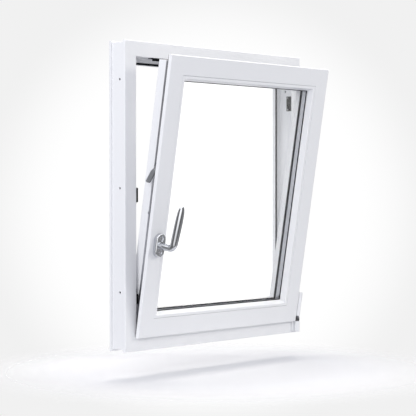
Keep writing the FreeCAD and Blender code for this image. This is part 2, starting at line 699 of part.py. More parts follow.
def pane(y):
    return box(GLASS_U - WIDTH / 2, WIDTH / 2 - GLASS_U, y, y + PANE, GLASS_U, HEIGHT - GLASS_U)


CAVITY_Y = GLASS_Y + PANE
save("pane_inner", lean(pane(GLASS_Y)))
save("pane_outer", lean(pane(CAVITY_Y + CAVITY)))
save("edge_seal", lean(ring(GLASS_U, GLASS_U + 4, CAVITY_Y, CAVITY_Y + CAVITY)))
save("spacer_bar", lean(ring(GLASS_U + 4, GLASS_U + 10.5, CAVITY_Y, CAVITY_Y + CAVITY)))

outer_seal = section([
    (RIM - 9.5, LIP_Y), (RIM - 9.5, GLASS_OUT + 1, 0.6), (RIM - 7, GLASS_OUT), (RIM + 0.2, GLASS_OUT),
    (RIM + 0.8, GLASS_OUT + 2.4, 0.8), (RIM - 1, LIP_Y), (RIM - 5.2, LIP_Y),
    (RIM - 5.2, LIP_Y + 2.8), (RIM - 7.8, LIP_Y + 2.8), (RIM - 7.8, LIP_Y),
])
inner_seal = section([
    (RIM - 9, GLASS_Y - 3), (RIM - 1, GLASS_Y - 3), (RIM + 1, GLASS_Y - 2.2, 0.6),
    (RIM + 0.6, GLASS_Y), (RIM - 9, GLASS_Y),
])
save("glazing_gasket_outer", lean(group([
    put(mitred(outer_seal, SPAN[side]), side) for side in TURNS])))
save("glazing_gasket_inner", lean(group([
    put(mitred(inner_seal, SPAN[side]), side) for side in TURNS])))

BLOCKS_X = [BLOCK_END - WIDTH / 2, WIDTH / 2 - BLOCK_END]
BLOCKS_Z = [BLOCK_END, HEIGHT - BLOCK_END]
BLOCKS = {"bottom": BLOCKS_X, "top": BLOCKS_X, "left": BLOCKS_Z, "right": BLOCKS_Z}
blocks = []
for side in TURNS:
    for place in BLOCKS[side]:
        s = along(side, place)
        solid = block(s - BLOCK_LONG / 2, s + BLOCK_LONG / 2, GLASS_Y + 1, GLASS_OUT - 1, SIGHT,
                      GLASS_U)
        blocks.append(put(solid, side))
save("setting_blocks", lean(group(blocks)))

BEAD_Y = FRONT + 0.8
SEAM = 0.8            # open joint between the bead and the flange
bead_face = section([
    (SIGHT + SEAM, BEAD_Y, 0.5), (SIGHT + 9.5, BEAD_Y, 2.0), (RIM - 1.5, GLASS_Y - 6.5, 1.5),
    (RIM - 1.5, GLASS_Y - 3.0), (SIGHT + GAP, GLASS_Y - 3.0),
    (SIGHT + GAP, CLIP_Y1 - GAP), (SIGHT - 3.7, CLIP_Y1 - GAP), (SIGHT - 3.7, CLIP_Y0 + GAP),
    (SIGHT + SEAM, CLIP_Y0 + GAP),
])
bead_chamber = section([
    (SIGHT + 2.2, BEAD_Y + 2), (SIGHT + 8.3, BEAD_Y + 2), (RIM - 3.6, GLASS_Y - 5.2),
    (SIGHT + 2.2, GLASS_Y - 5.2),
])
for side in TURNS:
    bead = mitred(bead_face, SPAN[side]).cut(mitred(bead_chamber, SPAN[side]))
    save("bead_" + side, lean(put(bead, side)))

# ---------------------------------------------------------------- locking hardware on the sash
ROD_Y0, ROD_Y1 = GROOVE_Y - 5, GROOVE_Y + 5
ROD_U0, ROD_U1 = BODY + 3.0, BODY + 6.5
SPLIT = 0.3
# ends of each faceplate in window coordinates, from the low to the high place
FACEPLATES = {
    "left": [(LOW_END, HEIGHT - LOW_END)],
    "right": [(RIGHT_START, HEIGHT - LOW_END)],
    "top": [(LOW_END - WIDTH / 2, STAY_X - 26), (STAY_X + 26, WIDTH / 2 - LOW_END)],
    "bottom": [(LOW_END - WIDTH / 2, WIDTH / 2 - BODY - 8)],
}
# extent of each drive rod with the handle at rest
ROD_END = 6.0         # least room between a rod's end and a corner drive
RODS = {
    "left": (LOW_END + ROD_END, HEIGHT - LOW_END - TRAVEL - ROD_END),
    "right": (RIGHT_START + TRAVEL + ROD_END, HEIGHT - LOW_END - ROD_END),
    "top": (LOW_END - WIDTH / 2 + 2.5, WIDTH / 2 - LOW_END - TRAVEL - ROD_END),
    "bottom": (LOW_END - WIDTH / 2 + TRAVEL + ROD_END, WIDTH / 2 - BODY - TRAVEL),
}


def faceplate(side):
    plates = []
    for low, high in FACEPLATES[side]:
        ends = sorted((along(side, low + SPLIT), along(side, high - SPLIT)))
        plate = block(ends[0], ends[1], PLATE_Y0, PLATE_Y1, BODY, BODY + PLATE_T)
        for place in cam_places(side):
            if ends[0] < place < ends[1]:
                plate = plate.cut(slot_u(place - TRAVEL, place, GROOVE_Y, BODY - 1, BODY + 4,
                                         CAM_R + 0.5))
        for place in SCREW_PLACES[side]:
            s = along(side, place)
            if ends[0] < s < ends[1]:
                plate = plate.cut(post(s, GROOVE_Y, BODY - 1, BODY + 4, 3.1))
        plates.append(put(plate, side))
    return plates[0] if len(plates) == 1 else group(plates)


def drive_rod(side):
    """Flat rod with its cams; long holes clear the faceplate screws over the whole stroke."""
    ends = sorted(along(side, value) for value in RODS[side])
    rod = block(ends[0], ends[1], ROD_Y0, ROD_Y1, ROD_U0, ROD_U1)
    for place in SCREW_PLACES[side]:
        s = along(side, place)
        if ends[0] - TRAVEL < s < ends[1]:
            rod = rod.cut(slot_u(s, s + TRAVEL, GROOVE_Y, ROD_U0 - 1, ROD_U1 + 1, 2.6))
    for place in cam_places(side):
        cam = post(place, GROOVE_Y, CAM_U, ROD_U1, CAM_R)
        cam = cam.fuse(post(place, GROOVE_Y, CAM_U + 3.2, CAM_U + 3.7, CAM_R + 0.3))
        rod = rod.fuse(cam)
    return put(rod.removeSplitter(), side)


screws = []
for side in TURNS:
    save("faceplate_" + side, lean(faceplate(side)))
    save("drive_rod_" + side, lean(drive_rod(side)))
    for place in SCREW_PLACES[side]:
        s = along(side, place)
        head = post(s, GROOVE_Y, BODY, BODY + PLATE_T, 3.0)
        shank = post(s, GROOVE_Y, BODY + PLATE_T, SLOT_U + WALL + 4, 1.9)
        drive = block(s - 3, s + 3, GROOVE_Y - 0.4, GROOVE_Y + 0.4, BODY - 1, BODY + 0.7)
        screws.append(put(head.fuse(shank).cut(drive), side))
save("faceplate_screws", lean(group(screws)))


def corner_drive(first, second, sign_first, sign_second):
    """Angle piece in the groove at a sash corner; the sign picks which end of each bar it is."""
    legs = []
    for side, sign in ((first, sign_first), (second, sign_second)):
        end = SPAN[side] / 2 - BODY
        s0, s1 = sorted((sign * end, sign * (end - LEG)))
        legs.append(put(block(s0, s1, PLATE_Y0, PLATE_Y1, BODY, BODY + PLATE_T), side))
        legs.append(put(block(s0, s1, ROD_Y0 - 0.6, ROD_Y1 + 0.6, BODY + PLATE_T, SLOT_U - 0.4), side))
    return fuse(legs)


save("corner_drives", lean(group([
    corner_drive("left", "top", -1, 1),
    corner_drive("top", "right", -1, 1),
    corner_drive("bottom", "left", -1, 1),
])))


def gearbox():
    case = block(handle_s - CASE_HALF, handle_s + CASE_HALF, GROOVE_Y - 5.6, GROOVE_Y + 5.6,
                 ROD_U1 + 0.5, SLOT_U + 15.6)
    case = case.cut(through(handle_s, HANDLE_U, -20, 40, 5.3))
    for offset in (-ROSETTE_SCREW, ROSETTE_SCREW):
        case = case.cut(through(handle_s + offset, HANDLE_U, -20, 40, 2.25))
    return put(case, "left")


save("gearbox", lean(gearbox()))


def stay_guide():
    """Flush base in the top groove with the upright pin the stay arm slides on."""
    s = along("top", STAY_X)
    base = block(s - 25.7, s + 25.7, PLATE_Y0, PLATE_Y1, BODY, BODY + PLATE_T)
    return put(base.fuse(post(s, GROOVE_Y, FACE + 1.0, BODY + PLATE_T, STAY_R)), "top")


save("stay_guide", lean(stay_guide()))

# ---------------------------------------------------------------- hinge on the sash
HINGE_Z0, HINGE_Z1 = TILT_Z + 10, TILT_Z + 88
COVER_R = 8.0


def sash_hinge():
    """Band in the corner, bent round the flange to an upright knuckle with a tang for the tilt pin."""
    edge_x = WIDTH / 2 - BODY
    leaf = box(edge_x, edge_x + 2.5, FLANGE_Y + 0.4, PLATE_Y1, HINGE_Z0 + 2, HINGE_Z1)
    front = box(edge_x, AXIS_X, FLANGE_Y + 0.4, -0.8, HINGE_Z0 + 2, HINGE_Z1)
    web = box(AXIS_X - 4, AXIS_X, AXIS_Y + 3, -0.8, HINGE_Z0 + 2, HINGE_Z1)
    knuckle = upright(AXIS_X, AXIS_Y, HINGE_Z0, HINGE_Z1, KNUCKLE)
    tang = across(AXIS_X - 2, AXIS_X + 2, AXIS_Y, TILT_Z, EYE_R)
    neck = box(AXIS_X - 2, AXIS_X + 2, AXIS_Y - EYE_R, AXIS_Y + EYE_R, TILT_Z, HINGE_Z0 + 1)
    whole = fuse([leaf, front, web, knuckle, tang, neck])
    return whole.cut(across(AXIS_X - 8, AXIS_X + 8, AXIS_Y, TILT_Z, 2.55))


def hinge_cover():
    """Slim round cap over the knuckle, open below and slotted for the band."""
    top = HINGE_Z1 + 2.5
    shell = upright(AXIS_X, AXIS_Y, HINGE_Z0 - 1, top, COVER_R)
    shell = softened(shell, 2.5, lambda p, e: p.z > top - 0.1 and len(e.Vertexes) == 1)
    shell = shell.cut(upright(AXIS_X, AXIS_Y, HINGE_Z0 - 2, HINGE_Z1 + 0.3, KNUCKLE + GAP))
    return shell.cut(box(AXIS_X - 4.3, AXIS_X + 0.4, AXIS_Y, 0, HINGE_Z0 - 2, HINGE_Z1 + 0.3))


save("sash_hinge", lean(sash_hinge()))
save("sash_hinge_cover", lean(hinge_cover()))

# ---------------------------------------------------------------- lifter on the handle side
LIFTER_U = BODY - 2.5
LIFTER_Y = GROOVE_Y - 2.0
LIFTER_LONG = 58.0
LIFTER_EYE = 6.0      # width between the ears
LIFTER_W = 18.0


def lifter_base():
    """Two ears and a pin on the faceplate that carry the lifter."""
    s = along("left", LIFTER_Z)
    ears = []
    for y0, y1 in ((LIFTER_Y - 7, LIFTER_Y - 3.3), (LIFTER_Y + 3.3, LIFTER_Y + 6.5)):
        ears.append(block(s - 7, s + 4, y0, y1, BODY - 5, BODY))
    pin = through(s, LIFTER_U, LIFTER_Y - 7, LIFTER_Y + 6.5, 1.2)
    return put(fuse(ears + [pin]), "left")


def lifter():
    """Lever hanging from its pin, widening to a ribbed end, swung out from the edge."""
    s = along("left", LIFTER_Z)
    narrow, wide = LIFTER_EYE / 2, LIFTER_W / 2
    end = s + LIFTER_LONG
    eye = through(s, LIFTER_U, LIFTER_Y - narrow, LIFTER_Y + narrow, 2.4)
    outline = [
        (s, narrow), (s + 7, narrow), (s + 20, wide), (end - 3, wide), (end, wide - 3),
        (end, 3 - wide), (end - 3, -wide), (s + 20, -wide), (s + 7, -narrow), (s, -narrow),
        (s, narrow),
    ]
    line = [V(place, LIFTER_Y + off, LIFTER_U - 1.2) for place, off in outline]
    blade = Part.Face(Part.makePolygon(line)).extrude(V(0, 0, 3.4))
    ribs = []
    for i in range(8):
        rib = end - 4.5 - 4.6 * i
        ribs.append(block(rib - 1.0, rib + 1.0, LIFTER_Y - wide, LIFTER_Y + wide,
                          LIFTER_U - 2.4, LIFTER_U - 1.0))
    shape = fuse([eye, blade] + ribs)
    shape = shape.cut(through(s, LIFTER_U, LIFTER_Y - 10, LIFTER_Y + 10, 1.25))
    placed = put(shape, "left")
    placed.rotate(V(LIFTER_U - WIDTH / 2, 0, LIFTER_Z), V(0, 1, 0), LIFTER_OUT)
    return placed


save("lifter_base", lean(lifter_base()))
save("lifter", lean(lifter()))

# ---------------------------------------------------------------- handle
ROSETTE_T = 13.0
ROSETTE_W = 39.0
ROSETTE_H = 73.0
HANDLE_X = HANDLE_U - WIDTH / 2
NECK_R = 9.5
REACH = 66.0          # sash face to the middle of the bend
GRIP = 135.0          # spindle to the tip


def stadium(width, height, y0, y1):
    """Upright round-ended slab centred on the spindle."""
    radius = width / 2
    half = height / 2 - radius
    slab = box(HANDLE_X - radius, HANDLE_X + radius, y0, y1, HANDLE_Z - half, HANDLE_Z + half)
    for z in (HANDLE_Z - half, HANDLE_Z + half):
        slab = slab.fuse(Part.makeCylinder(radius, y1 - y0, V(HANDLE_X, y0, z), V(0, 1, 0)))
    return slab.removeSplitter()


def axle(z, y0, y1, radius):
    return Part.makeCylinder(radius, y1 - y0, V(HANDLE_X, y0, z), V(0, 1, 0))


def rosette():
    front = FRONT - ROSETTE_T
    plate = stadium(ROSETTE_W, ROSETTE_H, front, FRONT)
    plate = softened(plate, 4.0, lambda p, e: abs(p.y - front) < 0.01)
    plate = plate.cut(axle(HANDLE_Z, front - 1, FRONT + 1, NECK_R + GAP))
    for offset in (-ROSETTE_SCREW, ROSETTE_SCREW):
        z = HANDLE_Z + offset
        plate = plate.cut(axle(z, front - 1, front + 3.5, 9.0))
        plate = plate.cut(axle(z, front, FRONT + 1, 2.3))
    return plate


def rosette_screw(z):
    front = FRONT - ROSETTE_T + 3.5
    head = axle(z, front - 2.6, front, 4.6)
    head = softened(head, 1.4, lambda p, e: abs(p.y - front + 2.6) < 0.01)
    shape = head.fuse(axle(z, front, GROOVE_Y + 4, 2.2))
    for w, h in ((5.0, 1.0), (1.0, 5.0)):
        shape = shape.cut(box(HANDLE_X - w / 2, HANDLE_X + w / 2, front - 4, front - 1.2,
                              z - h / 2, z + h / 2))
    return shape


def oval(y, z, across_r, deep_r, angle):
    """Ellipse wire across the lever; the angle is the path's lean from straight out to straight up."""
    a = math.radians(angle)
    normal = V(0, -math.cos(a), math.sin(a))
    deep = V(0, -math.sin(a), -math.cos(a))
    side_dir = V(1, 0, 0)
    centre = V(HANDLE_X, y, HANDLE_Z + z)
    if across_r >= deep_r:
        curve = Part.Ellipse(centre + side_dir * across_r, centre + deep * deep_r, centre)
        if abs(across_r - deep_r) < 1e-6:
            curve = Part.Circle(centre, normal, across_r)
    else:
        curve = Part.Ellipse(centre + deep * deep_r, centre + side_dir * across_r, centre)
    return Part.Wire(curve.toShape())


def lever():
    """Round neck, a quarter bend and a thick grip that narrows to a rounded tip."""
    start = FRONT - ROSETTE_T - GAP
    neck = axle(HANDLE_Z, start - 16, start + 8, NECK_R)
    bend_r = 17.0
    out = FRONT - REACH
    rings = [(start - 14, 0, 9.5, 9.45, 0), (out + bend_r, 0, 9.7, 9.6, 0)]
    for angle in (22.5, 45.0, 67.5):
        a = math.radians(angle)
        rings.append((out + bend_r - bend_r * math.sin(a), bend_r - bend_r * math.cos(a),
                      9.8 + angle / 90, 9.6 + angle / 180, angle))
    length = GRIP - bend_r
    for t, across_r, deep_r in (
        (0.0, 11.0, 10.2), (0.2, 11.8, 10.6), (0.4, 12.2, 10.6), (0.6, 11.9, 10.1), (0.8, 10.9, 9.0),
        (0.92, 9.3, 7.5), (0.975, 6.7, 5.3), (1.0, 3.0, 2.4),
    ):
        rings.append((out - 14.0 * t, bend_r + length * t, across_r, deep_r, 90 - 7 * min(1, 4 * t)))
    grip = Part.makeLoft([oval(*ring_) for ring_ in rings], True, False)
    spindle = box(HANDLE_X - 3.5, HANDLE_X + 3.5, start + 7, GROOVE_Y + 5, HANDLE_Z - 3.5,
                  HANDLE_Z + 3.5)
    return neck.fuse(grip).cut(spindle), spindle


grip, spindle = lever()
save("handle_rosette", lean(rosette()))
save("rosette_screws", lean(group([rosette_screw(HANDLE_Z + d) for d in (-ROSETTE_SCREW, ROSETTE_SCREW)])))
save("handle_lever", lean(grip))
save("handle_spindle", lean(spindle))
print("stay angle", round(STAY, 4))
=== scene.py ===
"""Tilt-and-turn casement window: white welded plastic profiles, double glazing, satin chrome handle.

Metres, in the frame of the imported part: +Z up, the room towards -Y, +X towards the hinge jamb.
The CAD nodes keep their shape and get their finishes here. The lever, which has to flow, is a
surface of its own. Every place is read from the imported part.
"""

import json
import math

import bpy
import numpy as np
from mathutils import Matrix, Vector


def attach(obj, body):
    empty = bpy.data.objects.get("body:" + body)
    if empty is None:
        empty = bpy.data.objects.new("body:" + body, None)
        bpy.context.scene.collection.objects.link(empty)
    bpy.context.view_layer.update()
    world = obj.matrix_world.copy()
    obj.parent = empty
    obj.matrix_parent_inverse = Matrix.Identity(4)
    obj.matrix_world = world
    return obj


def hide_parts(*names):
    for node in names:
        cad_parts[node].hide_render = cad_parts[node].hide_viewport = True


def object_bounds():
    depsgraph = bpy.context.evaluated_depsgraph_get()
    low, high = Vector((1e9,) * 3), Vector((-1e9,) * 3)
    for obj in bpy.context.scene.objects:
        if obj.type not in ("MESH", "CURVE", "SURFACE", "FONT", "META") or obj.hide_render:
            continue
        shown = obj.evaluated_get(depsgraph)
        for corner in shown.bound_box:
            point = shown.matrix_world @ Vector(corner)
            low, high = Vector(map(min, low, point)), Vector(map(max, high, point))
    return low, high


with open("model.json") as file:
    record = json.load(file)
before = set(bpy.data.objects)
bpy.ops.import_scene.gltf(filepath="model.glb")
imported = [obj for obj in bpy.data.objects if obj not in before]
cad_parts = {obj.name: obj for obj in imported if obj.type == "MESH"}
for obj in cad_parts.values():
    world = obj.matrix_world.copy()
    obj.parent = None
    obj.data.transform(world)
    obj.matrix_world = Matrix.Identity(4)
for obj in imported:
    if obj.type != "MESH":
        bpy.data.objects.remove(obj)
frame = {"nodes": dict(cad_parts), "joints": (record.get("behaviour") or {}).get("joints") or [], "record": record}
cad_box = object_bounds()
NODES = frame["nodes"]
JOINTS = {joint["name"]: joint for joint in frame["joints"]}
MM = 0.001


# ---------------------------------------------------------------- node helpers
def new_material(name):
    """A material with an empty tree, its output node and its Principled node."""
    material = bpy.data.materials.new(name)
    material.use_nodes = True
    tree = material.node_tree
    tree.nodes.clear()
    output = tree.nodes.new("ShaderNodeOutputMaterial")
    surface = tree.nodes.new("ShaderNodeBsdfPrincipled")
    tree.links.new(surface.outputs["BSDF"], output.inputs["Surface"])
    return material, tree, surface


def new_group(name, inputs, outputs):
    """A shader node group with float or colour inputs and outputs, each given as (name, kind, value)."""
    tree = bpy.data.node_groups.new(name, "ShaderNodeTree")
    for label, kind, value in inputs:
        socket = tree.interface.new_socket(label, in_out="INPUT", socket_type=kind)
        socket.default_value = value
    for label, kind in outputs:
        tree.interface.new_socket(label, in_out="OUTPUT", socket_type=kind)
    return tree, tree.nodes.new("NodeGroupInput"), tree.nodes.new("NodeGroupOutput")


def place_group(tree, group, **values):
    node = tree.nodes.new("ShaderNodeGroup")
    node.node_tree = group
    for label, value in values.items():
        node.inputs[label].default_value = value
    return node


def math_node(tree, operation, first, second):
    """A Math node; each input is a number or a socket."""
    node = tree.nodes.new("ShaderNodeMath")
    node.operation = operation
    for socket, value in zip(node.inputs, (first, second)):
        if isinstance(value, (int, float)):
            socket.default_value = value
        else:
            tree.links.new(value, socket)
    return node.outputs[0]


FLOAT = "NodeSocketFloat"
COLOUR = "NodeSocketColor"


def mottle_group():
    """Slow variation over a surface: a colour pulled to a second one, a roughness that wanders."""
    tree, entry, leave = new_group(
        "mottle",
        [("Colour", COLOUR, (0.8, 0.8, 0.8, 1)), ("Second", COLOUR, (0.7, 0.7, 0.7, 1)),
         ("Amount", FLOAT, 0.5), ("Scale", FLOAT, 12.0), ("Roughness", FLOAT, 0.3),
         ("Swing", FLOAT, 0.05)],
        [("Colour", COLOUR), ("Roughness", FLOAT)],
    )
    cloud = tree.nodes.new("ShaderNodeTexNoise")
    cloud.inputs["Detail"].default_value = 5.0
    cloud.inputs["Roughness"].default_value = 0.6
    place = tree.nodes.new("ShaderNodeTexCoord")
    tree.links.new(place.outputs["Object"], cloud.inputs["Vector"])
    tree.links.new(entry.outputs["Scale"], cloud.inputs["Scale"])
    spread = tree.nodes.new("ShaderNodeMapRange")
    spread.inputs["From Min"].default_value = 0.35
    spread.inputs["From Max"].default_value = 0.65
    tree.links.new(cloud.outputs["Fac"], spread.inputs["Value"])
    share = math_node(tree, "MULTIPLY", spread.outputs["Result"], entry.outputs["Amount"])
    mix = tree.nodes.new("ShaderNodeMix")
    mix.data_type = "RGBA"
    tree.links.new(share, mix.inputs["Factor"])
    tree.links.new(entry.outputs["Colour"], mix.inputs["A"])
    tree.links.new(entry.outputs["Second"], mix.inputs["B"])
    tree.links.new(mix.outputs["Result"], leave.inputs["Colour"])
    wander = math_node(tree, "MULTIPLY", spread.outputs["Result"], entry.outputs["Swing"])
    rough = math_node(tree, "ADD", wander, entry.outputs["Roughness"])
    tree.links.new(rough, leave.inputs["Roughness"])
    return tree


def grain_group():
    """Fine height: a speckle of the given scale."""
    tree, entry, leave = new_group("grain", [("Scale", FLOAT, 400.0)], [("Height", FLOAT)])
    place = tree.nodes.new("ShaderNodeTexCoord")
    speckle = tree.nodes.new("ShaderNodeTexNoise")
    speckle.inputs["Detail"].default_value = 3.0
    tree.links.new(place.outputs["Object"], speckle.inputs["Vector"])
    tree.links.new(entry.outputs["Scale"], speckle.inputs["Scale"])
    tree.links.new(speckle.outputs["Fac"], leave.inputs["Height"])
    return tree


MOTTLE = mottle_group()
GRAIN = grain_group()


def add_relief(tree, surface, height, distance):
    """Bumps a Principled node's normal by a height socket."""
    bump = tree.nodes.new("ShaderNodeBump")
    bump.inputs["Strength"].default_value = 1.0
    bump.inputs["Distance"].default_value = distance
    tree.links.new(height, bump.inputs["Height"])
    tree.links.new(bump.outputs["Normal"], surface.inputs["Normal"])


def finish_material(name, colour, second, amount, scale, roughness, swing, grain, relief):
    """Mottled colour and roughness with a fine grain; the caller sets the shader's plain values."""
    material, tree, surface = new_material(name)
    cloud = place_group(tree, MOTTLE, Colour=(*colour, 1), Second=(*second, 1), Amount=amount,
                        Scale=scale, Roughness=roughness, Swing=swing)
    tree.links.new(cloud.outputs["Colour"], surface.inputs["Base Color"])
    tree.links.new(cloud.outputs["Roughness"], surface.inputs["Roughness"])
    fine = place_group(tree, GRAIN, Scale=grain)
    add_relief(tree, surface, fine.outputs["Height"], relief)
    return material, surface


# ---------------------------------------------------------------- finishes
def white_plastic(name, colour, roughness):
    """Extruded white profile: a satin skin with a faint ripple and slow changes of gloss."""
    second = tuple(0.99 * value for value in colour)
    material, surface = finish_material(
        name, colour, second, 0.4, 9.0, roughness, 0.012, 260.0, 0.004 * MM)
    surface.inputs["IOR"].default_value = 1.5
    return material


def rubber():
    """Black weather seal with a powdery bloom."""
    material, surface = finish_material(
        "rubber", (0.008, 0.009, 0.012), (0.015, 0.016, 0.020), 0.8, 60.0, 0.65, 0.1, 2500.0,
        0.03 * MM)
    surface.inputs["Specular IOR Level"].default_value = 0.1
    return material


def metal(name, colour, second, roughness, swing, grain, relief):
    material, surface = finish_material(
        name, colour, second, 0.7, 35.0, roughness, swing, grain, relief)
    surface.inputs["Metallic"].default_value = 1.0
    return material


def black_casting():
    """Black powder coat on the strikers."""
    material, surface = finish_material(
        "black_casting", (0.004, 0.004, 0.005), (0.009, 0.009, 0.010), 0.6, 90.0, 0.6, 0.1,
        1800.0, 0.04 * MM)
    surface.inputs["Specular IOR Level"].default_value = 0.1
    return material


def moulded_grey():
    material, surface = finish_material(
        "moulded_grey", (0.15, 0.155, 0.165), (0.2, 0.205, 0.215), 0.6, 70.0, 0.45, 0.1, 1500.0,
        0.03 * MM)
    return material


def block_plastic():
    material, surface = finish_material(
        "block_plastic", (0.04, 0.11, 0.24), (0.06, 0.14, 0.28), 0.6, 50.0, 0.5, 0.1, 1200.0,
        0.03 * MM)
    return material


def clear_glass():
    """Float glass, faintly green, that lets the lamps' rays straight through."""
    material, tree, surface = new_material("clear_glass")
    surface.inputs["Base Color"].default_value = (0.997, 1.0, 0.999, 1)
    surface.inputs["Roughness"].default_value = 0.0
    surface.inputs["IOR"].default_value = 1.3
    surface.inputs["Transmission Weight"].default_value = 1.0
    open_way = tree.nodes.new("ShaderNodeBsdfTransparent")
    path = tree.nodes.new("ShaderNodeLightPath")
    mix = tree.nodes.new("ShaderNodeMixShader")
    tree.links.new(path.outputs["Is Shadow Ray"], mix.inputs["Fac"])
    tree.links.new(surface.outputs["BSDF"], mix.inputs[1])
    tree.links.new(open_way.outputs["BSDF"], mix.inputs[2])
    output = next(node for node in tree.nodes if node.type == "OUTPUT_MATERIAL")
    tree.links.new(mix.outputs["Shader"], output.inputs["Surface"])
    return material


WHITE = (0.83, 0.835, 0.85)
FINISHES = {
    "frame_plastic": white_plastic("frame_white", WHITE, 0.28),
    "sash_plastic": white_plastic("sash_white", WHITE, 0.26),
    "bead_plastic": white_plastic("bead_white", tuple(1.02 * value for value in WHITE), 0.24),
    "cap_plastic": white_plastic("cap_white", WHITE, 0.32),
    "galvanised_steel": metal("galvanised_steel", (0.45, 0.46, 0.48), (0.6, 0.61, 0.63), 0.4, 0.2,
                              300.0, 0.05 * MM),
    "hardware_steel": metal("hardware_steel", (0.5, 0.51, 0.54), (0.62, 0.63, 0.66), 0.32, 0.12,
                            500.0, 0.02 * MM),
    "pin_steel": metal("pin_steel", (0.16, 0.16, 0.17), (0.24, 0.24, 0.25), 0.35, 0.15, 700.0,
                       0.02 * MM),
    "screw_steel": metal("screw_steel", (0.5, 0.5, 0.52), (0.62, 0.62, 0.64), 0.3, 0.12, 900.0,
                         0.02 * MM),
    "striker_metal": black_casting(),
    "gasket_rubber": rubber(),
    "edge_sealant": rubber(),
    "spacer_aluminium": metal("spacer_aluminium", (0.42, 0.43, 0.47), (0.5, 0.51, 0.55), 0.38,
                              0.1, 900.0, 0.03 * MM),
    "glass": clear_glass(),
    "block_plastic": block_plastic(),
    "lifter_plastic": moulded_grey(),
    "handle_metal": metal("handle_metal", (0.62, 0.63, 0.66), (0.66, 0.67, 0.70), 0.15, 0.04,
                          900.0, 0.006 * MM),
}

for subpart in frame["record"]["subparts"]:
    mesh = NODES[subpart["node"]].data
    mesh.materials.clear()
    mesh.materials.append(FINISHES[subpart["material_slot"]])


# ---------------------------------------------------------------- handle lever
NECK_START, BEND_START, BEND_RADIUS, TIP_RISE = 5.3, 49.0, 17.0, 135.0
ROOT_WIDE, ROOT_END, ROOT_BLEND = 9.5, 13.4, 5.0
SWING = math.radians(90 - 7.2)
NECK_WIDE, NECK_DEEP = 10.6, 10.5
GRIP_WIDE, GRIP_DEEP, GRIP_SWELL = 11.5, 10.7, 1.2
LEVER_SPOKES = 96


def ring_quads(rings, spokes):
    """Numbers of the points on a stack of closed rings, those of their neighbours along each ring,
    and the four-sided faces between one ring and the next."""
    here = np.arange(rings * spokes).reshape(rings, spokes)
    beside = np.roll(here, -1, axis=1)
    quads = np.stack([here[:-1], beside[:-1], beside[1:], here[1:]], axis=-1).reshape(-1, 4)
    return here, beside, quads


def lever_path():
    """Middle line of the lever in the plane of its bend, with its direction and two half widths.

    Straight out of the rosette's hole, where it thickens along a smooth step, round a bend of
    constant radius until the grip leans outward, then straight to the tip. The grip swells by the
    sine of half a turn over its length, and its half widths fall to nothing at the tip as the square
    root of one minus the tenth power of the way along it. The rows are the way out, the rise, the
    turn, the half width and the half depth.
    """
    neck = np.linspace(NECK_START, BEND_START, 36)[:-1]
    still = np.zeros_like(neck)
    part = np.clip((neck - ROOT_END) / ROOT_BLEND, 0, 1)
    part = part * part * (3 - 2 * part)
    neck = np.stack([neck, still, still, ROOT_WIDE + (NECK_WIDE - ROOT_WIDE) * part,
                     ROOT_WIDE + (NECK_DEEP - ROOT_WIDE) * part])

    part = np.linspace(0, 1, 18)[:-1]
    turn = SWING * part
    bend = np.stack([BEND_START + BEND_RADIUS * np.sin(turn), BEND_RADIUS * (1 - np.cos(turn)), turn,
                     NECK_WIDE + (GRIP_WIDE - NECK_WIDE) * part,
                     NECK_DEEP + (GRIP_DEEP - NECK_DEEP) * part])

    out = BEND_START + BEND_RADIUS * math.sin(SWING)
    rise = BEND_RADIUS * (1 - math.cos(SWING))
    length = (TIP_RISE - rise) / math.sin(SWING)
    part = np.sin(np.linspace(0, math.pi / 2, 72))
    close = np.sqrt(np.maximum(0, 1 - part ** 10))
    wide = (GRIP_WIDE + GRIP_SWELL * np.sin(np.pi * part)) * close
    flatness = GRIP_DEEP / GRIP_WIDE - 0.1 * part
    grip = np.stack([out + length * part * math.cos(SWING), rise + length * part * math.sin(SWING),
                     SWING + 0 * part, wide, wide * flatness])
    return np.concatenate([neck, bend, grip], axis=1)


def add_lever():
    """Ovals across the middle line, each in the plane square to the line's direction."""
    joint = JOINTS["handle"]
    root = np.array(joint["pos_m"], float)
    outward = -np.array(joint["axis"], float)
    outward /= np.linalg.norm(outward)
    across = np.array([1.0, 0.0, 0.0])
    upward = np.cross(outward, across)
    upward *= math.copysign(1.0, upward[2])

    out, rise, turn, wide, deep = (row[:, None] for row in lever_path())
    middle = root + MM * (out * outward + rise * upward)
    inner = np.cos(turn) * upward - np.sin(turn) * outward
    a = np.linspace(0, 2 * np.pi, LEVER_SPOKES, endpoint=False)[None, :, None]
    rings = (middle[:, None] + MM * (wide[:, None] * np.cos(a) * across
                                     + deep[:, None] * np.sin(a) * inner[:, None]))[:-1]
    points = np.vstack([rings.reshape(-1, 3), middle[:1], middle[-1:]])
    here, beside, quads = ring_quads(len(rings), LEVER_SPOKES)
    first, last = np.full(LEVER_SPOKES, rings.size // 3), np.full(LEVER_SPOKES, rings.size // 3 + 1)
    caps = np.vstack([np.stack([first, beside[0], here[0]], 1),
                      np.stack([last, here[-1], beside[-1]], 1)])
    mesh = bpy.data.meshes.new("lever")
    mesh.from_pydata(points.tolist(), [], quads.tolist() + caps.tolist())
    corner = points[np.vstack([quads[:, :3], quads[:, [0, 2, 3]], caps])]
    volume = np.einsum("ij,ij->", corner[:, 0], np.cross(corner[:, 1], corner[:, 2])) / 6
    if volume < 0:
        mesh.flip_normals()
    mesh.shade_smooth()
    mesh.materials.append(FINISHES["handle_metal"])
    lever = bpy.data.objects.new("lever", mesh)
    bpy.context.scene.collection.objects.link(lever)
    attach(lever, "handle")
    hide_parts("handle_lever")


add_lever()


